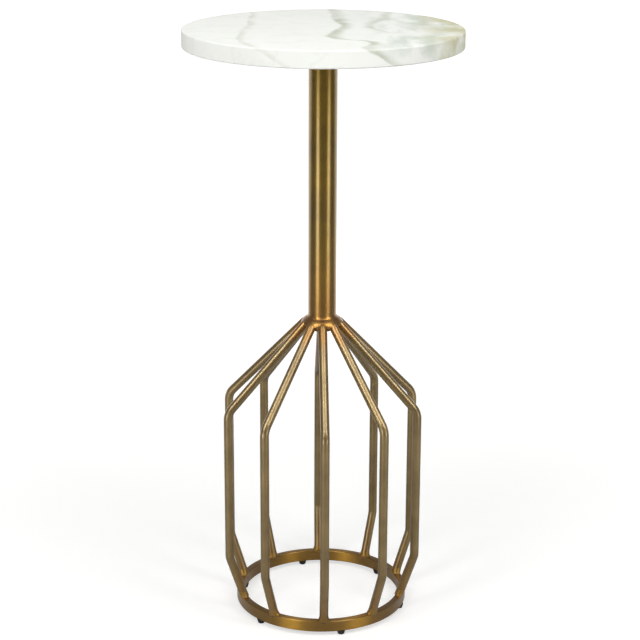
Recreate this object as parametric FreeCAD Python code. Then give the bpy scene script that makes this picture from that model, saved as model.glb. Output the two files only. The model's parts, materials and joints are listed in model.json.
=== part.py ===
import FreeCAD, Part
import math
import os

# Wine table: a round marble slab on a tube column, which stands on a cage of bent rods
# welded to a hoop. Millimetres, +Z up. The origin is on the floor under the column's axis.
# Azimuths are counted from -Y, the front, and grow towards +X.

# Marble slab
overall_height = 672.0
top_diameter = 305.0
top_thickness = 19.0
top_edge_radius = 1.5

# Tube column and the disc that closes its lower end
column_diameter = 31.8
column_wall = 2.0
end_disc_thickness = 3.0

# Cage of bent rods: heights and radii of the rod's centreline corners before bending
rod_count = 10
rod_diameter = 10.0
rod_bend_radius = 18.0
hub_height = 342.0
hub_corner_reach = 3.6
hub_start_slope = 20.0
shoulder_height = 245.0
cage_radius = 112.0
lower_bend_height = 69.0
hub_cover_share = 0.7

# Hoop of flat bar, standing on edge
ring_outer_diameter = 198.0
ring_bar_thickness = 8.0
ring_bar_height = 13.0
ring_edge_radius = 0.8

# Rubber feet, pushed into holes in the hoop
foot_count = 6
foot_phase = 12.0
foot_height = 5.0
foot_top_diameter = 10.0
foot_bottom_diameter = 7.0
foot_edge_radius = 1.2
foot_stem_diameter = 4.0
foot_stem_length = 7.0

# Steel mounting plate, welded on top of the column
plate_diameter = 120.0
plate_thickness = 4.0
plate_edge_radius = 1.0

# Screws through the plate into inserts bonded in the marble
screw_count = 4
screw_circle_diameter = 90.0
screw_phase = 45.0
screw_diameter = 6.0
screw_engagement = 9.0
screw_head_diameter = 10.5
screw_head_height = 3.3
screw_head_edge_radius = 1.5
socket_width = 4.0
socket_depth = 2.0
washer_diameter = 12.5
washer_thickness = 1.6
insert_diameter = 10.0
insert_length = 11.0

# Clearances
screw_hole_clearance = 0.4
thread_clearance = 0.1
fit_clearance = 0.1
bond_gap = 0.2
cut_overrun = 2.0

# Sizes that follow
column_radius = column_diameter / 2
rod_radius = rod_diameter / 2
rod_pitch = 360 / rod_count
ring_mid_radius = (ring_outer_diameter - ring_bar_thickness) / 2
ring_top = foot_height + ring_bar_height
slab_bottom = overall_height - top_thickness
plate_bottom = slab_bottom - plate_thickness
column_bottom = hub_height - rod_diameter * hub_cover_share
screw_circle_radius = screw_circle_diameter / 2

UP = FreeCAD.Vector(0, 0, 1)
ORIGIN = FreeCAD.Vector(0, 0, 0)


def disc(diameter, height, bottom, radius_out=0):
    """Upright cylinder, radius_out from the axis along +X."""
    return Part.makeCylinder(diameter / 2, height, FreeCAD.Vector(radius_out, 0, bottom), UP)


def at_azimuth(shape, azimuth):
    """Copy of a shape that was modelled on the +X side, turned to its azimuth."""
    turned = shape.copy()
    turned.rotate(ORIGIN, UP, azimuth - 90)
    return turned


def around(shape, count, phase):
    """Copies of a shape, evenly spaced round the axis."""
    return [at_azimuth(shape, phase + index * 360 / count) for index in range(count)]


def round_rims(shape, radius):
    """Fillet every circular edge of a turned solid."""
    rims = [edge for edge in shape.Edges if isinstance(edge.Curve, Part.Circle)]
    return shape.makeFillet(radius, rims)


def marble_top():
    """Slab with eased rims and blind holes underneath for the inserts."""
    slab = round_rims(disc(top_diameter, top_thickness, slab_bottom), top_edge_radius)
    hole = disc(
        insert_diameter + 2 * bond_gap,
        insert_length + bond_gap + cut_overrun,
        slab_bottom - cut_overrun,
        screw_circle_radius,
    )
    return slab.cut(around(hole, screw_count, screw_phase))


def top_insert():
    """Threaded sleeve, flush with the slab's underside."""
    sleeve = disc(insert_diameter, insert_length, slab_bottom, screw_circle_radius)
    bore = disc(
        screw_diameter + 2 * thread_clearance,
        insert_length + 2 * cut_overrun,
        slab_bottom - cut_overrun,
        screw_circle_radius,
    )
    return sleeve.cut(bore)


def mounting_plate():
    """Round plate with a clearance hole for each screw."""
    plate = round_rims(disc(plate_diameter, plate_thickness, plate_bottom), plate_edge_radius)
    hole = disc(
        screw_diameter + 2 * screw_hole_clearance,
        plate_thickness + 2 * cut_overrun,
        plate_bottom - cut_overrun,
        screw_circle_radius,
    )
    return plate.cut(around(hole, screw_count, screw_phase))


def plate_washer():
    """Flat washer under the plate."""
    bottom = plate_bottom - washer_thickness
    ring = disc(washer_diameter, washer_thickness, bottom, screw_circle_radius)
    bore = disc(
        screw_diameter + 2 * screw_hole_clearance,
        washer_thickness + 2 * cut_overrun,
        bottom - cut_overrun,
        screw_circle_radius,
    )
    return ring.cut(bore)


def plate_screw():
    """Button-head socket screw, driven up through washer and plate into its insert."""
    head_top = plate_bottom - washer_thickness
    head_bottom = head_top - screw_head_height
    head = disc(screw_head_diameter, screw_head_height, head_bottom, screw_circle_radius)
    lower_rim = [edge for edge in head.Edges if edge.CenterOfMass.z < head_bottom + screw_head_height / 4]
    head = head.makeFillet(screw_head_edge_radius, lower_rim)
    shank_length = washer_thickness + plate_thickness + screw_engagement
    shank = disc(screw_diameter, shank_length, head_top, screw_circle_radius)
    corner_radius = socket_width / 2 / math.cos(math.pi / 6)
    socket_centre = FreeCAD.Vector(screw_circle_radius, 0, head_bottom - cut_overrun)
    corners = [
        socket_centre + FreeCAD.Vector(math.cos(turn), math.sin(turn), 0) * corner_radius
        for turn in (index * math.pi / 3 for index in range(7))
    ]
    socket = Part.Face(Part.makePolygon(corners)).extrude(UP * (socket_depth + cut_overrun))
    return head.fuse(shank).removeSplitter().cut(socket)


def column_tube():
    """Round tube from the cage's hub up to the plate."""
    length = plate_bottom - column_bottom
    outer = disc(column_diameter, length, column_bottom)
    bore = disc(column_diameter - 2 * column_wall, length + 2 * cut_overrun, column_bottom - cut_overrun)
    return outer.cut(bore)


def column_end_disc():
    """Disc inside the tube's lower end, flush with it."""
    diameter = column_diameter - 2 * column_wall - 2 * fit_clearance
    return disc(diameter, end_disc_thickness, column_bottom)


def bent_path(corners, bend_radius):
    """Straight runs from corner to corner, with a tangent arc in place of each inner corner."""
    edges = []
    start = corners[0]
    for before, corner, after in zip(corners, corners[1:], corners[2:]):
        back = (before - corner).normalize()
        ahead = (after - corner).normalize()
        half_angle = back.getAngle(ahead) / 2
        inward = (back + ahead).normalize()
        centre = corner + inward * (bend_radius / math.sin(half_angle))
        enter = corner + back * (bend_radius / math.tan(half_angle))
        leave = corner + ahead * (bend_radius / math.tan(half_angle))
        edges.append(Part.LineSegment(start, enter).toShape())
        edges.append(Part.Arc(enter, centre - inward * bend_radius, leave).toShape())
        start = leave
    edges.append(Part.LineSegment(start, corners[-1]).toShape())
    return Part.Wire(edges)


def cage_rod():
    """Rod bent three times, coped to the column, mitred to its neighbours and cut flat on the hoop."""
    hub_corner = FreeCAD.Vector(column_radius + hub_corner_reach, 0, hub_height)
    slope = math.tan(math.radians(hub_start_slope))
    inner_end = hub_corner + FreeCAD.Vector(-column_radius, 0, column_radius * slope)
    shoulder = FreeCAD.Vector(cage_radius, 0, shoulder_height)
    lower_bend = FreeCAD.Vector(cage_radius, 0, lower_bend_height)
    landing = FreeCAD.Vector(ring_mid_radius, 0, ring_top)
    outer_end = landing + (landing - lower_bend).normalize() * rod_diameter
    path = bent_path([inner_end, hub_corner, shoulder, lower_bend, outer_end], rod_bend_radius)
    section = Part.Circle(inner_end, hub_corner - inner_end, rod_radius)
    rod = path.makePipe(Part.Face(Part.Wire(section.toShape())))
    # The sector's flat sides mitre the rod to its neighbours, and its floor is the hoop's top.
    sector_radius = cage_radius + rod_diameter
    sector_base = FreeCAD.Vector(0, 0, ring_top)
    sector = Part.makeCylinder(sector_radius, overall_height, sector_base, UP, rod_pitch)
    sector.rotate(ORIGIN, UP, -rod_pitch / 2)
    return rod.common(sector).cut(disc(column_diameter, overall_height, 0))


def base_ring():
    """Hoop with a hole in its underside for each foot."""
    outer = disc(ring_outer_diameter, ring_bar_height, foot_height)
    inner_diameter = ring_outer_diameter - 2 * ring_bar_thickness
    inner = disc(inner_diameter, ring_bar_height + 2 * cut_overrun, foot_height - cut_overrun)
    hoop = round_rims(outer.cut(inner), ring_edge_radius)
    hole = disc(
        foot_stem_diameter + 2 * fit_clearance,
        foot_stem_length + fit_clearance + cut_overrun,
        foot_height - cut_overrun,
        ring_mid_radius,
    )
    return hoop.cut(around(hole, foot_count, foot_phase))


def foot():
    """Tapered bumper with a rounded lower rim and a stem that goes up into the hoop."""
    base = FreeCAD.Vector(ring_mid_radius, 0, 0)
    bumper = Part.makeCone(foot_bottom_diameter / 2, foot_top_diameter / 2, foot_height, base, UP)
    lower_rim = [edge for edge in bumper.Edges if edge.CenterOfMass.z < foot_height / 4]
    bumper = bumper.makeFillet(foot_edge_radius, lower_rim)
    stem = disc(foot_stem_diameter, foot_stem_length, foot_height, ring_mid_radius)
    return bumper.fuse(stem)


nodes = {
    "marble_top": marble_top(),
    "top_inserts": Part.makeCompound(around(top_insert(), screw_count, screw_phase)),
    "mounting_plate": mounting_plate(),
    "plate_washers": Part.makeCompound(around(plate_washer(), screw_count, screw_phase)),
    "plate_screws": Part.makeCompound(around(plate_screw(), screw_count, screw_phase)),
    "column_tube": column_tube(),
    "column_end_disc": column_end_disc(),
    "base_ring": base_ring(),
}
for number, rod in enumerate(around(cage_rod(), rod_count, 0), 1):
    nodes[f"cage_rod_{number:02d}"] = rod
for number, bumper in enumerate(around(foot(), foot_count, foot_phase), 1):
    nodes[f"foot_{number}"] = bumper

os.makedirs("parts", exist_ok=True)
for name, shape in nodes.items():
    shape.exportStep(f"parts/{name}.step")
    box = shape.optimalBoundingBox()
    print(
        f"{name}: {len(shape.Solids)} solids, valid {shape.isValid()}, {shape.Volume:.1f} mm3, "
        f"z {box.ZMin:.2f} to {box.ZMax:.2f}, width {box.XLength:.2f} by {box.YLength:.2f}"
    )
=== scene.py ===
# %% [markdown]
# # A wine table, dressed for the camera
# The real object is a round marble slab on a brass-finished tube, which stands on a cage of ten
# bent rods and a hoop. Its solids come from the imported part, at real size and in their real places.
# This lesson adds the welds that the solids leave out, gives every surface its finish, and sets up
# the floor, the light and the camera of the photograph.

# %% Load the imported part
import json
import math

import bpy
from mathutils import Euler, Matrix, Vector

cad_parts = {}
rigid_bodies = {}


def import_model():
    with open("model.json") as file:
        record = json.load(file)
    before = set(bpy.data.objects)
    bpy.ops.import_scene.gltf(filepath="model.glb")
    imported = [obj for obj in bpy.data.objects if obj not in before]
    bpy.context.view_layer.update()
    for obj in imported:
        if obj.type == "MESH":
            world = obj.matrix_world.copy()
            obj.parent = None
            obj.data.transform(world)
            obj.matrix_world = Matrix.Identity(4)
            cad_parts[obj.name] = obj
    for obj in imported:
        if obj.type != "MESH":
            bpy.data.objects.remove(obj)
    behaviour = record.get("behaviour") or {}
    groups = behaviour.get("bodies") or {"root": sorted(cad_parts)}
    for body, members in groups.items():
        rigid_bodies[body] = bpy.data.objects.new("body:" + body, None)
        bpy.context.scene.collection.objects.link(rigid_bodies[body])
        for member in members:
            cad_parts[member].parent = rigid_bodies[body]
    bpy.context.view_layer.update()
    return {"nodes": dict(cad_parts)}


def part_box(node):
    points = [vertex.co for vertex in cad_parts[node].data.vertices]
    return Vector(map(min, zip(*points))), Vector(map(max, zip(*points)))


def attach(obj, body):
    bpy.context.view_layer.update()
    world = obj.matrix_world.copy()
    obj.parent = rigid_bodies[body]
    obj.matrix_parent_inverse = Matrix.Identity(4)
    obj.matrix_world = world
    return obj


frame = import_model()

bpy.ops.object.select_all(action="DESELECT")

# %% [markdown]
# ## Where things are
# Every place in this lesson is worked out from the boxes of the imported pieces, so the welds and
# the patterns stay with the solids. A box can't tell where a rod bends or how thick the hoop's bar
# is, so these are written further on, as the real sizes that they are.

# %% Measure the pieces
MM = 0.001
slab_low, slab_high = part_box("marble_top")
_, tube_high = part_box("column_tube")
plate_low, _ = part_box("mounting_plate")
_, hoop_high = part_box("base_ring")
rod_low, rod_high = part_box("cage_rod_01")
slab_radius = slab_high.x
tube_radius = tube_high.x
rod_radius = rod_high.x
rod_count = sum(name.startswith("cage_rod") for name in frame["nodes"])
crest = rod_high.z
cage_radius = -rod_low.y - rod_radius
print(f"slab radius {slab_radius / MM:.1f} mm, tube radius {tube_radius / MM:.1f} mm")
print(f"{rod_count} rods, {cage_radius / MM:.1f} mm from the axis, crest at {crest / MM:.1f} mm")

# %% [markdown]
# ## Welds, one loop at a time
# On the real table the rods are welded to the tube and to the hoop, and the tube to its plate. A
# weld is a soft fillet of metal that follows the joint, so its section matters more than its
# length. It could be sculpted, but it is quicker to draw one loop, and to extrude, move and scale
# that loop from section to section, as one would turn a ring by hand. A loop is an ellipse round
# its own centre, so the same function serves the round joints and the rods' slanting feet.

# %% A tube of loops
def tube_of_loops(name, loops, segments):
    """Open tube through loops, each given as half width in X and Y, the centre's Y, and height."""
    half_x, half_y, centre_y, height = loops[0]
    start = (0, centre_y, height)
    bpy.ops.object.select_all(action="DESELECT")
    bpy.ops.mesh.primitive_circle_add(vertices=segments, radius=half_x, location=start)
    piece = bpy.context.object
    piece.name = name
    piece.scale = (1, half_y / half_x, 1)
    bpy.ops.object.transform_apply(location=True, rotation=True, scale=True)
    bpy.ops.object.mode_set(mode="EDIT")
    bpy.ops.mesh.select_mode(type="EDGE")
    bpy.ops.mesh.select_all(action="SELECT")
    for before, after in zip(loops, loops[1:]):
        move = (0, after[2] - before[2], after[3] - before[3])
        bpy.ops.mesh.extrude_region_move(TRANSFORM_OT_translate={"value": move})
        stretch = (after[0] / before[0], after[1] / before[1], 1)
        bpy.ops.transform.resize(value=stretch, center_override=(0, after[2], after[3]))
    # The two open rims are left selected, ready to be bridged or filled.
    bpy.ops.mesh.select_all(action="DESELECT")
    bpy.ops.mesh.select_non_manifold()
    return piece


print("a weld is drawn as a tube of loops")

# %% [markdown]
# ## The surface of a hand weld
# A weld that is laid by hand is never quite even. Bump in a material could fake that, but the
# outline would stay smooth, so a Displace modifier raises low lumps from a cloud texture, and
# applying it keeps them in the mesh.

# %% Finish a weld
def finish_weld(piece, lump_height, lump_size):
    """Turn the faces outwards, shade them smooth, raise the lumps, and hand the piece over."""
    bpy.ops.mesh.select_all(action="SELECT")
    bpy.ops.mesh.normals_make_consistent(inside=False)
    bpy.ops.object.mode_set(mode="OBJECT")
    bpy.ops.object.shade_smooth()
    ripple = bpy.data.textures.new(piece.name + "_ripple", "CLOUDS")
    ripple.noise_scale = lump_size
    lumpy = piece.modifiers.new("lumps", "DISPLACE")
    lumpy.texture = ripple
    lumpy.texture_coords = "LOCAL"
    lumpy.strength = lump_height
    bpy.ops.object.modifier_apply(modifier=lumpy.name)
    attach(piece, "root")
    print(piece.name, "has", len(piece.data.polygons), "faces")


# %% [markdown]
# ## The hub weld
# Ten rods of 10 mm crowd round a 32 mm tube, so near the tube they touch, and the welder fills the
# valleys between them and grinds the top to a smooth collar. In the photograph the tube seems to
# run on a little over the rods. The collar follows the crest of the rods from the tube outwards,
# ends in a rounded toe, and goes back below, at half the rods' depth, so that they stay separate
# underneath.

# %% Hub weld
COLLAR_REACH = 7.9 * MM
collar_radius = tube_radius + COLLAR_REACH
collar_profile = [
    # radius and height of each loop, from the tube over the crest and back to the tube
    (tube_radius - 0.6 * MM, crest + 3.6 * MM),
    (tube_radius + 0.1 * MM, crest + 2.9 * MM),
    (tube_radius + 0.4 * MM, crest + 1.8 * MM),
    (tube_radius + 1.1 * MM, crest + 0.8 * MM),
    (tube_radius + 2.3 * MM, crest - 0.1 * MM),
    (tube_radius + 3.7 * MM, crest - 1.0 * MM),
    (tube_radius + 5.1 * MM, crest - 2.2 * MM),
    (collar_radius - 1.6 * MM, crest - 3.6 * MM),
    (collar_radius - 0.5 * MM, crest - 5.1 * MM),
    (collar_radius, crest - 6.8 * MM),
    (collar_radius - 0.6 * MM, crest - 8.2 * MM),
    (collar_radius - 2.4 * MM, crest - 9.2 * MM),
    (tube_radius - 0.6 * MM, crest - 8.4 * MM),
]
hub_weld = tube_of_loops("hub_weld", [(r, r, 0, z) for r, z in collar_profile], segments=120)
bpy.ops.mesh.bridge_edge_loops()
finish_weld(hub_weld, lump_height=0.5 * MM, lump_size=7 * MM)

# %% [markdown]
# ## The plate weld
# Under the slab, a fillet runs round the tube where it meets the mounting plate. It is a hollow
# curve of between 4 and 5 mm each way. A bevel of the corner would need both pieces in one mesh, so
# the curve is drawn as loops, and sunk a little into both pieces, so that no seam shows.

# %% Plate weld
FILLET = 4.5 * MM
FILLET_STEPS = 6
SUNK = 0.4 * MM
fillet_profile = [(tube_radius - SUNK, plate_low.z - FILLET - SUNK)]
for step in range(FILLET_STEPS + 1):
    turn = step / FILLET_STEPS * math.pi / 2
    out = FILLET * (1 - math.cos(turn))
    up = FILLET * math.sin(turn)
    fillet_profile.append((tube_radius + out, plate_low.z - FILLET + up))
fillet_profile.append((tube_radius + FILLET, plate_low.z + SUNK))
fillet_profile.append((tube_radius - SUNK, plate_low.z + SUNK))
plate_weld = tube_of_loops("plate_weld", [(r, r, 0, z) for r, z in fillet_profile], segments=96)
bpy.ops.mesh.bridge_edge_loops()
finish_weld(plate_weld, lump_height=0.3 * MM, lump_size=6 * MM)

# %% [markdown]
# ## The hoop welds
# Each rod stands on the hoop's upper edge, leans outwards, and is a little wider than the bar. The
# weld spreads along the bar on both sides of the rod, and rounds off the ledge where the rod hangs
# over the bar. It is modelled at the front rod, where X runs along the bar, so that its loops need
# no turning.

# %% Hoop weld at the front rod
HOOP_BAR = 8 * MM
LOWER_BEND_HEIGHT = 69 * MM
SKIRT_SECTIONS = [
    # half width beyond the rod's own, along the bar and across it, and height above the bar
    (2.4 * MM, -1.3 * MM, -3.0 * MM),
    (2.6 * MM, -0.6 * MM, -1.0 * MM),
    (2.3 * MM, 0.1 * MM, 0.3 * MM),
    (1.2 * MM, 0.1 * MM, 1.6 * MM),
    (0.6 * MM, 0.08 * MM, 3.2 * MM),
    (0.2 * MM, 0.05 * MM, 5.2 * MM),
    (-0.2 * MM, -0.2 * MM, 7.0 * MM),
]
hoop_mid_radius = hoop_high.x - HOOP_BAR / 2
lean = (cage_radius - hoop_mid_radius) / (LOWER_BEND_HEIGHT - hoop_high.z)
rod_half_y = rod_radius * math.hypot(1, lean)
skirt_loops = []
for along, across_bar, above in SKIRT_SECTIONS:
    centre_y = -(hoop_mid_radius + lean * max(above, 0))
    half_widths = (rod_radius + along, rod_half_y + across_bar)
    skirt_loops.append((*half_widths, centre_y, hoop_high.z + above))
front_weld = tube_of_loops("hoop_weld_01", skirt_loops, segments=40)
bpy.ops.mesh.fill_holes(sides=0)
finish_weld(front_weld, lump_height=0.3 * MM, lump_size=4 * MM)

# %% [markdown]
# The other rods have the same weld. A copy could be turned as an object, but the finishes below
# read the place of each point from its object's own axes, so each copy gets a mesh of its own and
# the turn goes into that mesh.

# %% Hoop welds round the axis
for number in range(2, rod_count + 1):
    copy = front_weld.copy()
    copy.data = front_weld.data.copy()
    copy.name = f"hoop_weld_{number:02d}"
    bpy.context.scene.collection.objects.link(copy)
    copy.data.transform(Matrix.Rotation((number - 1) * math.tau / rod_count, 4, "Z"))
    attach(copy, "root")
print("hoop welds:", rod_count, "leaning", round(math.degrees(math.atan(lean)), 1), "degrees")

# %% [markdown]
# ## Colours and nodes
# Colours are written as sRGB hex values, the way a paint chart gives them, and Blender's shaders
# want linear light, so one function turns one into the other. A second function adds a shader node,
# sets it up and links it in one go, which keeps the node trees below readable.

# %% Helpers for colours and nodes
def linear(hex_colour):
    """Linear RGBA of an sRGB hex colour such as 'C8A25A'."""
    values = [int(hex_colour[i:i + 2], 16) / 255 for i in (0, 2, 4)]
    return [v / 12.92 if v <= 0.04045 else ((v + 0.055) / 1.055) ** 2.4 for v in values] + [1.0]


def add_node(material, kind, inputs=None, **settings):
    """A new shader node. A socket given as an input is linked, and anything else is set."""
    tree = material.node_tree
    node = tree.nodes.new(kind)
    for name, value in settings.items():
        setattr(node, name, value)
    for socket, value in (inputs or {}).items():
        if isinstance(value, bpy.types.NodeSocket):
            tree.links.new(value, node.inputs[socket])
        else:
            node.inputs[socket].default_value = value
    return node


def new_material(name, **values):
    """A material with one Principled shader, whose uniform values are set on its own sockets."""
    material = bpy.data.materials.new(name)
    material.use_nodes = True
    shader = material.node_tree.nodes["Principled BSDF"]
    for socket, value in values.items():
        shader.inputs[socket.replace("_", " ")].default_value = value
    return material, shader


def plug(material, output, shader, socket):
    """Link an output to a socket of the shader."""
    material.node_tree.links.new(output, shader.inputs[socket])


print("a mid grey is", round(linear("808080")[0], 3), "in linear light")

# %% [markdown]
# ## White marble
# The slab is a white marble, sawn and then honed to a matt face, so the eye sees its drawing and no
# lamp: a few soft grey-green veins and an olive cloud towards one side. A photograph of stone would
# be the usual texture, but a procedural one runs through the whole block, so that each vein that
# reaches the rim carries on down the edge.
# First the space is made that the veins are drawn in. Two noises push it about, a broad one that
# bends what is drawn there and a fine one that frays it. A vein is a sheet in the stone, and the
# sheet leans, so X also drifts sideways with depth.

# %% Marble: a space for the veins
VEIN_LEAN = 1.5
NOISE_MIDDLE = 0.5
BEND_SIZE, BEND_DEPTH, BEND_DETAIL = 60 * MM, 8 * MM, 1
FRAY_SIZE, FRAY_DEPTH, FRAY_DETAIL = 9 * MM, 4 * MM, 4
WARPS = [(BEND_SIZE, BEND_DEPTH, BEND_DETAIL), (FRAY_SIZE, FRAY_DEPTH, FRAY_DETAIL)]
marble, marble_shader = new_material("Honed white marble", IOR=1.5)
place = add_node(marble, "ShaderNodeTexCoord").outputs["Object"]
warped = place
for size, depth, detail in WARPS:
    noise = add_node(
        marble, "ShaderNodeTexNoise", {"Vector": place, "Scale": 1 / size, "Detail": detail}
    )
    centred = add_node(
        marble, "ShaderNodeVectorMath", {0: noise.outputs["Color"], 1: [NOISE_MIDDLE] * 3},
        operation="SUBTRACT",
    )
    warped = add_node(
        marble, "ShaderNodeVectorMath", {0: centred.outputs[0], 1: [depth] * 3, 2: warped},
        operation="MULTIPLY_ADD",
    ).outputs[0]
axes = add_node(marble, "ShaderNodeSeparateXYZ", {0: warped})
depth_in = add_node(
    marble, "ShaderNodeMath", {0: axes.outputs["Z"], 1: slab_high.z}, operation="SUBTRACT"
)
leaning_x = add_node(
    marble, "ShaderNodeMath", {0: depth_in.outputs[0], 1: VEIN_LEAN, 2: axes.outputs["X"]},
    operation="MULTIPLY_ADD",
).outputs[0]
across = add_node(
    marble, "ShaderNodeMapRange", {0: axes.outputs["Y"], 1: -slab_radius, 2: slab_radius}
).outputs[0]
print("marble veins bend by", BEND_DEPTH / MM, "mm and fray by", FRAY_DEPTH / MM, "mm")

# %% [markdown]
# Seen from above, a vein is a line, which could be left to a noise as well, but then it would run
# anywhere. A Float Curve gives the line that the photograph shows, across the slab from its front
# to its back. The vein is crisp on one side of that line and washes out on the other, and it grows
# stronger and weaker on its way.

# %% Marble: one mask per vein
# A route is a list of places, front to back then left to right, as shares of the slab's radius.
FAINT_ROUTE = [
    (-0.90, -0.47), (-0.84, -0.50), (-0.62, -0.57), (-0.23, -0.58), (0.29, -0.52), (0.93, -0.53),
]
STRONG_ROUTE = [
    (-0.89, 0.26), (-0.68, 0.30), (-0.58, 0.22), (-0.51, 0.07), (-0.39, 0.02),
    (-0.22, 0.05), (0.12, 0.14), (0.41, 0.12), (0.90, 0.09),
]
SHORT_ROUTE = [
    (-0.95, 0.62), (-0.30, 0.47), (0.11, 0.33), (0.34, 0.40), (0.66, 0.51), (0.95, 0.55),
]
VEINS = [
    # route, width of the vein left and right of its line, how much it shows, and how far to the
    # front it comes
    (FAINT_ROUTE, 3 * MM, 10 * MM, 0.45, -1.2),
    (STRONG_ROUTE, 5 * MM, 15 * MM, 1.0, -1.2),
    (SHORT_ROUTE, 12 * MM, 6 * MM, 0.7, -0.3),
]
PULSE_SIZE = 26 * MM
PULSE_LOW, PULSE_HIGH = 0.35, 0.62
WEAKEST = 0.45
FRONT_FADE = 0.1


def unit(share):
    """A share of the slab's radius, -1 to 1, as a place across the slab, 0 to 1."""
    return (share + 1) / 2


pulse = add_node(
    marble, "ShaderNodeTexNoise", {"Vector": place, "Scale": 1 / PULSE_SIZE, "Detail": 3}
).outputs[0]
vein = 0.0
for route, left_width, right_width, shown, front_share in VEINS:
    line = add_node(marble, "ShaderNodeFloatCurve", {"Value": across})
    points = line.mapping.curves[0].points
    points[0].location = (0, unit(route[0][1]))
    points[1].location = (1, unit(route[-1][1]))
    for y_share, x_share in route:
        points.new(unit(y_share), unit(x_share))
    line.mapping.update()
    line_x = add_node(
        marble, "ShaderNodeMapRange", {0: line.outputs[0], 3: -slab_radius, 4: slab_radius}
    )
    aside = add_node(
        marble, "ShaderNodeMath", {0: leaning_x, 1: line_x.outputs[0]}, operation="SUBTRACT"
    )
    rise = add_node(
        marble, "ShaderNodeMapRange", {0: aside.outputs[0], 1: -left_width, 2: 0, 3: 0, 4: 1},
        interpolation_type="SMOOTHSTEP",
    )
    fall = add_node(
        marble, "ShaderNodeMapRange", {0: aside.outputs[0], 1: 0, 2: right_width, 3: 1, 4: 0},
        interpolation_type="SMOOTHSTEP",
    )
    uneven = add_node(
        marble, "ShaderNodeMapRange",
        {0: pulse, 1: PULSE_LOW, 2: PULSE_HIGH, 3: WEAKEST * shown, 4: shown},
    )
    front = unit(front_share)
    begun = add_node(marble, "ShaderNodeMapRange", {0: across, 1: front, 2: front + FRONT_FADE})
    mask = rise.outputs[0]
    for limit in (fall, uneven, begun):
        mask = add_node(
            marble, "ShaderNodeMath", {0: mask, 1: limit.outputs[0]}, operation="MULTIPLY"
        ).outputs[0]
    vein = add_node(marble, "ShaderNodeMath", {0: vein, 1: mask}, operation="MAXIMUM").outputs[0]
print("marble has", len(VEINS), "main veins")

# %% [markdown]
# Between the veins the stone is not one white. A grey-green cloud of streaks fills the side beyond
# the strong vein, and iron has stained the far end olive and straw yellow. Each is a noise with its
# own grain, held to its region by a smooth ramp.

# %% Marble: clouds and stains
CLOUD_GRAIN = (24 * MM, 55 * MM, 24 * MM)
CLOUD_TURN = math.radians(28)
CLOUD_FROM_X, CLOUD_FULL_X = 30 * MM, 85 * MM
STREAK_LOW, STREAK_HIGH, CLOUD_MOST = 0.44, 0.64, 0.9
streak_space = add_node(
    marble, "ShaderNodeMapping",
    {"Vector": warped, "Rotation": (0, 0, CLOUD_TURN), "Scale": [1 / g for g in CLOUD_GRAIN]},
)
streaks = add_node(
    marble, "ShaderNodeTexNoise", {"Vector": streak_space.outputs[0], "Scale": 1, "Detail": 5}
)
streaky = add_node(
    marble, "ShaderNodeMapRange",
    {0: streaks.outputs[0], 1: STREAK_LOW, 2: STREAK_HIGH, 3: 0, 4: CLOUD_MOST},
)
beyond = add_node(
    marble, "ShaderNodeMapRange", {0: leaning_x, 1: CLOUD_FROM_X, 2: CLOUD_FULL_X},
    interpolation_type="SMOOTHSTEP",
)
cloud = add_node(
    marble, "ShaderNodeMath", {0: beyond.outputs[0], 1: streaky.outputs[0]}, operation="MULTIPLY"
)

STAIN_SIZE = 34 * MM
STAIN_FROM_X, STAIN_FULL_X = 85 * MM, 145 * MM
BLOTCH_LOW, BLOTCH_HIGH, STAIN_LEAST = 0.38, 0.60, 0.15
blotch = add_node(
    marble, "ShaderNodeTexNoise", {"Vector": warped, "Scale": 1 / STAIN_SIZE, "Detail": 3}
)
blotchy = add_node(
    marble, "ShaderNodeMapRange",
    {0: blotch.outputs[0], 1: BLOTCH_LOW, 2: BLOTCH_HIGH, 3: STAIN_LEAST, 4: 1.0},
)
stained = add_node(
    marble, "ShaderNodeMapRange", {0: axes.outputs["X"], 1: STAIN_FROM_X, 2: STAIN_FULL_X},
    interpolation_type="SMOOTHSTEP",
)
stain = add_node(
    marble, "ShaderNodeMath", {0: stained.outputs[0], 1: blotchy.outputs[0]}, operation="MULTIPLY"
)
print("marble streaks are", CLOUD_GRAIN[0] / MM, "mm wide, its stains", STAIN_SIZE / MM, "mm")

# %% [markdown]
# Faint hair veins run all through the stone. They could be drawn one by one as the main veins are,
# but a noise has such lines in it already: wherever it passes through its middle value. A thin haze
# lies over everything, from the same noise that makes the main veins stronger and weaker.

# %% Marble: hair veins and haze
HAIR_SIZE, HAIR_WIDTH, HAIR_MOST = 95 * MM, 0.02, 0.14
HAZE_LOW, HAZE_HIGH, HAZE_MOST = 0.3, 0.7, 0.22
hair = add_node(
    marble, "ShaderNodeTexNoise", {"Vector": warped, "Scale": 1 / HAIR_SIZE, "Detail": 5}
)
off_middle = add_node(
    marble, "ShaderNodeMath", {0: hair.outputs[0], 1: NOISE_MIDDLE}, operation="SUBTRACT"
)
ridge = add_node(marble, "ShaderNodeMath", {0: off_middle.outputs[0]}, operation="ABSOLUTE")
hairline = add_node(
    marble, "ShaderNodeMapRange", {0: ridge.outputs[0], 1: 0, 2: HAIR_WIDTH, 3: HAIR_MOST, 4: 0}
)
haze = add_node(
    marble, "ShaderNodeMapRange", {0: pulse, 1: HAZE_LOW, 2: HAZE_HIGH, 3: 0, 4: HAZE_MOST}
)
print("marble hair veins follow a noise of", HAIR_SIZE / MM, "mm")

# %% [markdown]
# Now the masks get their colours. They are laid over the white one after the other, the faintest
# first, as a painter of marble would glaze them. The underside shows the saw, so it is rougher than
# the honed faces.

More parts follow.
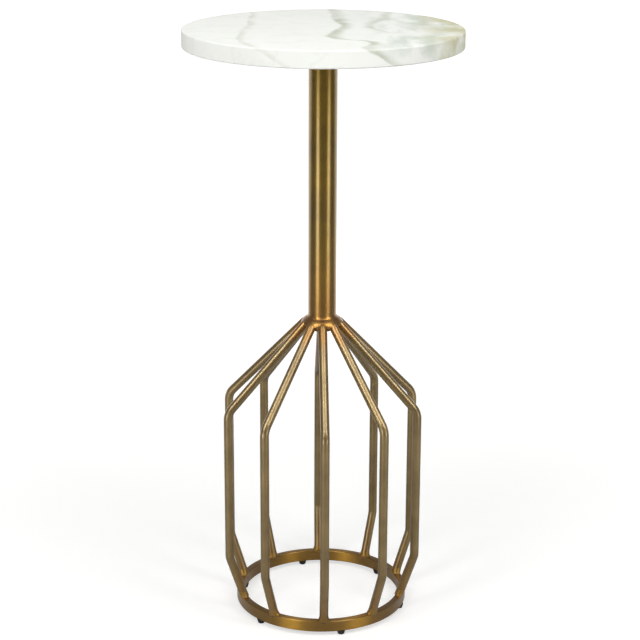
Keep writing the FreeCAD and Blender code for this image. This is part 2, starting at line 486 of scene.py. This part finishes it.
# %% Marble: colour and surface
STONE_WHITE = "EDEEE9"
LAYERS = [
    ("DDE2DA", haze.outputs[0]),
    ("C9CFC6", hairline.outputs[0]),
    ("C9D1C6", cloud.outputs[0]),
    ("C3C19F", stain.outputs[0]),
    ("BDC3B3", vein),
]
SAWN_ROUGHNESS, HONED_ROUGHNESS = 0.95, 0.85
SAWN_DEPTH = 1 * MM
colour = linear(STONE_WHITE)
for glaze, amount in LAYERS:
    layer = add_node(
        marble, "ShaderNodeMix", {0: amount, 6: colour, 7: linear(glaze)}, data_type="RGBA"
    )
    colour = layer.outputs[2]
plug(marble, colour, marble_shader, "Base Color")
sawn_top = slab_low.z + SAWN_DEPTH
sawn = add_node(
    marble, "ShaderNodeMapRange",
    {0: axes.outputs["Z"], 1: slab_low.z, 2: sawn_top, 3: SAWN_ROUGHNESS, 4: HONED_ROUGHNESS},
)
plug(marble, sawn.outputs[0], marble_shader, "Roughness")
print("marble has", len(marble.node_tree.nodes), "nodes")

# %% [markdown]
# ## Heat tint
# Welding heat seems to have turned the brass orange at the hub, some way up the tube, and along the
# hoop. It could be one more finish for each of these pieces, but the tint fades out within a piece,
# so it is a layer that any brass finish can take, and it depends on height alone.

# %% Heat tint for any brass
HEAT_TINT = "A5701C"
HUB_HEAT, HOOP_HEAT = 0.6, 0.4
HUB_HEAT_CORE = 10 * MM
HOOP_HEAT_FADE = 60 * MM
hub_heat_height = crest - HUB_HEAT_CORE / 2
hoop_heat_end = hoop_high.z + HOOP_HEAT_FADE


def heat_tinted(brass, place, tone, hub_fade):
    """The tone, tinted round the hub, to hub_fade beyond its core, and from the hoop upwards."""
    height = add_node(brass, "ShaderNodeSeparateXYZ", {0: place}).outputs["Z"]
    from_hub = add_node(
        brass, "ShaderNodeMath", {0: height, 1: hub_heat_height}, operation="SUBTRACT"
    )
    distance = add_node(brass, "ShaderNodeMath", {0: from_hub.outputs[0]}, operation="ABSOLUTE")
    hub_heat = add_node(
        brass, "ShaderNodeMapRange",
        {0: distance.outputs[0], 1: HUB_HEAT_CORE, 2: HUB_HEAT_CORE + hub_fade, 3: HUB_HEAT, 4: 0},
        interpolation_type="SMOOTHSTEP",
    )
    hoop_heat = add_node(
        brass, "ShaderNodeMapRange",
        {0: height, 1: hoop_high.z, 2: hoop_heat_end, 3: HOOP_HEAT, 4: 0},
    )
    heat = add_node(
        brass, "ShaderNodeMath", {0: hub_heat.outputs[0], 1: hoop_heat.outputs[0]},
        operation="MAXIMUM",
    )
    tinted = add_node(
        brass, "ShaderNodeMix", {0: heat.outputs[0], 6: tone, 7: linear(HEAT_TINT)},
        data_type="RGBA",
    )
    return tinted.outputs[2]


print("heat tint is centred", round(hub_heat_height / MM, 1), "mm above the floor")

# %% [markdown]
# ## Antique brass
# Tube, rods, hoop and plate are steel, plated with brass, brushed, browned in a bath and lacquered.
# The eye sees a gold-brown metal with soft highlights, and the lacquer, a clear coat, adds pale
# lines over them. The brush ran round the tube and the hoop, and such lines spread a lamp's
# reflection along the tube. Bump fine enough for that would only be noise at this size, so their
# finish has anisotropy, with its direction worked out from the axis. The rods were only drawn, so
# theirs has none.

# %% Antique brass: how the finish is built up
TARNISH_SIZE = 30 * MM
TARNISH_LOW, TARNISH_HIGH = 0.35, 0.68
BRUSH_LOW, BRUSH_HIGH = 0.3, 0.7
ROUGHNESS_SPREAD = 0.05
BRUSH_BUMP, BRUSH_HEIGHT = 0.06, 0.05 * MM
QUARTER_TURN = 0.25


def antique_brass(name, pale, brown, grain, roughness, stretch, lacquer, hub_fade):
    """Browned and lacquered brass plate. grain is the size of a surface line along each axis."""
    brass, shader = new_material(
        name, Metallic=1.0, Anisotropic=stretch, Anisotropic_Rotation=QUARTER_TURN,
        Coat_Weight=1.0, Coat_Roughness=lacquer,
    )
    place = add_node(brass, "ShaderNodeTexCoord").outputs["Object"]
    clouds = add_node(
        brass, "ShaderNodeTexNoise", {"Vector": place, "Scale": 1 / TARNISH_SIZE, "Detail": 4}
    )
    browned = add_node(
        brass, "ShaderNodeMapRange", {0: clouds.outputs[0], 1: TARNISH_LOW, 2: TARNISH_HIGH}
    )
    tone = add_node(
        brass, "ShaderNodeMix", {0: browned.outputs[0], 6: linear(pale), 7: linear(brown)},
        data_type="RGBA",
    )
    plug(brass, heat_tinted(brass, place, tone.outputs[2], hub_fade), shader, "Base Color")
    lines = add_node(
        brass, "ShaderNodeMapping", {"Vector": place, "Scale": [1 / g for g in grain]}
    )
    brushed = add_node(
        brass, "ShaderNodeTexNoise", {"Vector": lines.outputs[0], "Scale": 1, "Detail": 2}
    ).outputs[0]
    smooth, coarse = roughness - ROUGHNESS_SPREAD, roughness + ROUGHNESS_SPREAD
    rough = add_node(
        brass, "ShaderNodeMapRange", {0: brushed, 1: BRUSH_LOW, 2: BRUSH_HIGH, 3: smooth, 4: coarse}
    )
    plug(brass, rough.outputs[0], shader, "Roughness")
    bump = add_node(
        brass, "ShaderNodeBump",
        {"Height": brushed, "Strength": BRUSH_BUMP, "Distance": BRUSH_HEIGHT},
    )
    plug(brass, bump.outputs[0], shader, "Normal")
    around = add_node(
        brass, "ShaderNodeVectorMath", {0: (0, 0, 1), 1: place}, operation="CROSS_PRODUCT"
    )
    plug(brass, around.outputs[0], shader, "Tangent")
    return brass


print("brass is browned in clouds of", TARNISH_SIZE / MM, "mm")

# %% [markdown]
# The same finish comes out differently on each kind of metal. The rods are greyer than the tube,
# with lines along their length. The welds have a short grain in no direction, and the hub's weld
# has been polished, so it is smoother and more orange.

# %% Antique brass: four versions
# Real brush lines are finer than 0.1 mm, and are drawn coarser so that they show in the render.
LINE_WIDTH, LINE_LENGTH = 0.6 * MM, 40 * MM
WELD_GRAIN = 2.5 * MM
LINES_UPRIGHT = (LINE_WIDTH, LINE_WIDTH, LINE_LENGTH)
LINES_ROUND = (LINE_LENGTH, LINE_LENGTH, LINE_WIDTH)
NO_LINES = (WELD_GRAIN, WELD_GRAIN, WELD_GRAIN)
PALE, BROWN = "9E7E28", "876B21"
TUBE_HEAT_FADE, ROD_HEAT_FADE = 110 * MM, 14 * MM
brass_rods = antique_brass(
    "Antique brass, drawn rod", "9A8254", "856F46", LINES_UPRIGHT,
    roughness=0.4, stretch=0.0, lacquer=0.25, hub_fade=ROD_HEAT_FADE,
)
brass_round = antique_brass(
    "Antique brass, brushed round", PALE, BROWN, LINES_ROUND,
    roughness=0.42, stretch=0.95, lacquer=0.2, hub_fade=TUBE_HEAT_FADE,
)
brass_weld = antique_brass(
    "Antique brass, weld", PALE, BROWN, NO_LINES,
    roughness=0.4, stretch=0.0, lacquer=0.4, hub_fade=ROD_HEAT_FADE,
)
brass_hub = antique_brass(
    "Antique brass, polished weld", "9C6F2A", "865E22", NO_LINES,
    roughness=0.3, stretch=0.0, lacquer=0.4, hub_fade=ROD_HEAT_FADE,
)
print("brass brush lines are drawn", LINE_WIDTH / MM, "mm wide")

# %% [markdown]
# ## Rubber, zinc and turned brass
# The feet are moulded black rubber, which is matt and never quite black. The screws and washers are
# zinc-plated steel, bluish and finely speckled, and the inserts are plain turned brass, yellow and
# bright. Each could have a finish of its own, but all three are small and mostly hidden, so one
# function gives them two tones and a fine grain.

# %% The small finishes
SPECKLE_BUMP, SPECKLE_HEIGHT = 0.15, 0.05 * MM


def speckled(name, dark, light, size, roughness, metallic):
    """A plain finish with fine speckles between two tones."""
    finish, shader = new_material(name, Metallic=metallic, Roughness=roughness)
    place = add_node(finish, "ShaderNodeTexCoord").outputs["Object"]
    grain = add_node(
        finish, "ShaderNodeTexNoise", {"Vector": place, "Scale": 1 / size, "Detail": 3}
    ).outputs[0]
    tone = add_node(
        finish, "ShaderNodeMix", {0: grain, 6: linear(dark), 7: linear(light)}, data_type="RGBA"
    )
    plug(finish, tone.outputs[2], shader, "Base Color")
    bump = add_node(
        finish, "ShaderNodeBump",
        {"Height": grain, "Strength": SPECKLE_BUMP, "Distance": SPECKLE_HEIGHT},
    )
    plug(finish, bump.outputs[0], shader, "Normal")
    return finish


# The real grain of all three is finer, and is drawn about 1 mm wide so that it can show.
rubber = speckled(
    "Black moulded rubber", "141313", "2B2827", size=0.8 * MM, roughness=0.65, metallic=0.0
)
zinc = speckled(
    "Zinc-plated steel", "8F949B", "B9BEC4", size=1.2 * MM, roughness=0.38, metallic=1.0
)
turned_brass = speckled(
    "Turned brass", "A8843F", "C9A65C", size=0.9 * MM, roughness=0.3, metallic=1.0
)
print("small finishes:", rubber.name, zinc.name, turned_brass.name)

# %% [markdown]
# ## Dressing the table
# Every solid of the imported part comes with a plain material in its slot, so its finish only has to
# take that place. The welds are new pieces and get theirs from scratch. A table of finishes by name
# is easier to check against the photograph than a line for each piece, and the ten rods and six
# feet need no rows in it.

# %% Dress the nodes and the welds
FINISHES = {
    "marble_top": marble,
    "column_tube": brass_round,
    "column_end_disc": brass_round,
    "mounting_plate": brass_round,
    "base_ring": brass_round,
    "plate_screws": zinc,
    "plate_washers": zinc,
    "top_inserts": turned_brass,
}
for name, node in frame["nodes"].items():
    finish = FINISHES.get(name, rubber if name.startswith("foot") else brass_rods)
    for slot in node.material_slots:
        slot.material = finish
welds = [piece for piece in bpy.context.scene.objects if "_weld" in piece.name]
for weld in welds:
    weld.data.materials.clear()
    weld.data.materials.append(brass_hub if weld is hub_weld else brass_weld)
print("finished", len(frame["nodes"]), "nodes and", len(welds), "welds")

# %% [markdown]
# ## A white studio
# The photograph stands the table on plain white with no edge to be seen. A white backdrop could be
# lit until it clips, but that light would fall on the table too. Here only rays from the camera,
# from gloss and through glass find a white glow in the backdrop. The tube's middle and the edges of
# the rods are dark in the photograph, so the white paper began a little behind the table, and the
# room on the camera's side was dim: mirrored rays lose the glow there. One function serves the
# floor and the room above its edge.

# %% What the eye sees of the backdrop
DIM_Y, WHITE_Y = 0.3, 0.85


def white_to_eye(stage, place):
    """1 for the camera's rays, and for mirrored ones that find the backdrop behind the table."""
    depth = add_node(stage, "ShaderNodeSeparateXYZ", {0: place}).outputs["Y"]
    behind = add_node(
        stage, "ShaderNodeMapRange", {0: depth, 1: DIM_Y, 2: WHITE_Y},
        interpolation_type="SMOOTHSTEP",
    )
    rays = add_node(stage, "ShaderNodeLightPath").outputs
    mirrored = add_node(
        stage, "ShaderNodeMath", {0: rays["Is Glossy Ray"], 1: rays["Is Transmission Ray"]},
        operation="MAXIMUM",
    )
    backdrop = add_node(
        stage, "ShaderNodeMath", {0: mirrored.outputs[0], 1: behind.outputs[0]},
        operation="MULTIPLY",
    )
    seen = add_node(
        stage, "ShaderNodeMath", {0: rays["Is Camera Ray"], 1: backdrop.outputs[0]},
        operation="MAXIMUM",
    )
    return seen.outputs[0]


print("mirrored rays find white paper from", DIM_Y, "m behind the table's axis")

# %% [markdown]
# The floor is matt white paper, which takes the table's soft shadow. Its own colour is a pale grey,
# so that the shadow can be seen, and the glow makes up the rest. The glow is weaker near the table,
# because a floor that is white by glow alone would hide the shadow there.

# %% Floor
FLOOR_SIZE = 24.0
NEAR_GLOW, FAR_GLOW = 0.54, 1.0
NEAR_REACH, FAR_REACH = 0.25, 1.6
bpy.ops.object.select_all(action="DESELECT")
bpy.ops.mesh.primitive_plane_add(size=FLOOR_SIZE, location=(0, 0, 0))
floor = bpy.context.object
floor.name = "studio_floor"
paper, paper_shader = new_material(
    "Matt white paper", Base_Color=linear("BFBFBD"), Roughness=0.9, Emission_Color=linear("FFFFFF")
)
on_floor = add_node(paper, "ShaderNodeTexCoord").outputs["Object"]
from_table = add_node(paper, "ShaderNodeVectorMath", {0: on_floor}, operation="LENGTH")
glow = add_node(
    paper, "ShaderNodeMapRange",
    {0: from_table.outputs["Value"], 1: NEAR_REACH, 2: FAR_REACH, 3: NEAR_GLOW, 4: FAR_GLOW},
    interpolation_type="SMOOTHSTEP",
)
glow_seen = add_node(
    paper, "ShaderNodeMath", {0: white_to_eye(paper, on_floor), 1: glow.outputs[0]},
    operation="MULTIPLY",
)
plug(paper, glow_seen.outputs[0], paper_shader, "Emission Strength")
floor.data.materials.append(paper)
print("floor is", FLOOR_SIZE, "m wide and all white beyond", FAR_REACH, "m")

# %% [markdown]
# The paper goes up behind the table as a low wall, and above it the room is dim. A wall could be a
# second sheet, but as part of the world it has no edge and throws no shadow.

# %% The room
ROOM_STRENGTH = 0.22
PAPER_TOP, PAPER_FADE = 0.2, 0.35
room = bpy.data.worlds.new("studio")
room.use_nodes = True
bpy.context.scene.world = room
towards = add_node(room, "ShaderNodeTexCoord").outputs["Generated"]
upwards = add_node(room, "ShaderNodeSeparateXYZ", {0: towards}).outputs["Z"]
paper_wall = add_node(
    room, "ShaderNodeMapRange", {0: upwards, 1: PAPER_TOP, 2: PAPER_FADE, 3: 1, 4: 0}
)
wall_seen = add_node(
    room, "ShaderNodeMath", {0: white_to_eye(room, towards), 1: paper_wall.outputs[0]},
    operation="MULTIPLY",
)
strength = add_node(
    room, "ShaderNodeMapRange", {0: wall_seen.outputs[0], 3: ROOM_STRENGTH, 4: 1}
)
background = room.node_tree.nodes["Background"]
background.inputs["Color"].default_value = linear("FFFFFF")
plug(room, strength.outputs[0], background, "Strength")
print("room has a strength of", ROOM_STRENGTH, "above a wall of white paper")

# %% [markdown]
# ## Soft boxes
# A studio lamp has a wide, evenly bright face, and polished metal mirrors that face. Watts could be
# tried until they look right, but here they follow from how bright the face looks, so that a lamp
# can change its size and its reflection stays as bright.

# %% A soft box
def soft_box(name, azimuth, reach, height, aim_height, size, radiance):
    """Rectangular lamp with an evenly bright face, aimed at a height on the table's axis."""
    lamp = bpy.data.lights.new(name, "AREA")
    lamp.shape = "RECTANGLE"
    lamp.size, lamp.size_y = size
    lamp.energy = radiance * math.pi * size[0] * size[1]
    box = bpy.data.objects.new(name, lamp)
    bpy.context.scene.collection.objects.link(box)
    turn = math.radians(azimuth)
    box.location = (reach * math.sin(turn), -reach * math.cos(turn), height)
    facing = Vector((0, 0, aim_height)) - box.location
    box.rotation_euler = facing.to_track_quat("-Z", "Y").to_euler()
    box.visible_camera = False
    print(name, "gives", round(lamp.energy, 1), "W")
    return box


# %% [markdown]
# ## Light
# Two pale lines run down the tube, a third of the way in from each side, so there were two tall
# strip lights, about 45 degrees to the left and right of the camera, and the left one was a little
# brighter. The gold part of each line fades under the slab, which shades the tube, so the strips
# stand high. The lacquer on an upright tube mirrors what is low, because the camera looks down, so
# its pale part comes from a low card under each strip. A wide box overhead lights the slab and the
# rods' shoulders. A weak one behind keeps the back of the slab from going grey, and gloss doesn't
# show it.

# %% Light
LEFT_AZIMUTH, RIGHT_AZIMUTH, SIDE_REACH = -42, 48, 1.25
STRIP_SIZE, STRIP_HEIGHT, STRIP_AIM = (0.42, 1.2), 1.4, 0.6
CARD_SIZE, CARD_HEIGHT = (0.5, 0.34), 0.19
strip = {"height": STRIP_HEIGHT, "aim_height": STRIP_AIM, "size": STRIP_SIZE}
card = {"height": CARD_HEIGHT, "aim_height": CARD_HEIGHT, "size": CARD_SIZE}
soft_box("left_strip", LEFT_AZIMUTH, SIDE_REACH, radiance=7.1, **strip)
soft_box("right_strip", RIGHT_AZIMUTH, SIDE_REACH, radiance=6.3, **strip)
soft_box("left_card", LEFT_AZIMUTH, SIDE_REACH, radiance=4.4, **card)
soft_box("right_card", RIGHT_AZIMUTH, SIDE_REACH, radiance=3.4, **card)
soft_box(
    "top_box", azimuth=5, reach=0.7, height=2.4, aim_height=0.5, size=(3.4, 2.0), radiance=1.1
)
back_box = soft_box(
    "back_box", azimuth=180, reach=1.7, height=1.1, aim_height=0.5, size=(1.8, 1.2), radiance=1.0
)
back_box.visible_glossy = False
bpy.context.scene.view_settings.view_transform = "Standard"

# %% [markdown]
# ## Camera
# The photograph's camera is found from the shapes of three circles, the slab, the hoop and the
# tube: it stands nearly 2 m away and looks down by 17 degrees. It could be placed by eye, but a
# camera that is too near or too far turns every circle into the wrong ellipse. Its focal length is
# written in pixels of the 640 pixel frame, and the lens in millimetres follows from it.

# %% Camera
PIXELS = 640
FOCAL_PIXELS = 1798.3
SENSOR = 36.0
CAMERA_REACH = 1.934
CAMERA_HEIGHT = 0.9518
CAMERA_AZIMUTH = -2.0
CAMERA_TILT = 17.45
CAMERA_ROLL = 0.22
AXIS_OFFSET_PIXELS = 2.2
camera_data = bpy.data.cameras.new("photo_camera")
camera_data.sensor_width = SENSOR
camera_data.lens = SENSOR * FOCAL_PIXELS / PIXELS
camera = bpy.data.objects.new("photo_camera", camera_data)
bpy.context.scene.collection.objects.link(camera)
turn = math.radians(CAMERA_AZIMUTH)
heading = turn + math.atan(AXIS_OFFSET_PIXELS / FOCAL_PIXELS)
level = Euler((math.radians(90 - CAMERA_TILT), 0, heading)).to_matrix()
camera.rotation_euler = (level @ Matrix.Rotation(math.radians(CAMERA_ROLL), 3, "Z")).to_euler()
camera.location = (CAMERA_REACH * math.sin(turn), -CAMERA_REACH * math.cos(turn), CAMERA_HEIGHT)
bpy.context.scene.camera = camera
print("lens", round(camera_data.lens, 2), "mm")
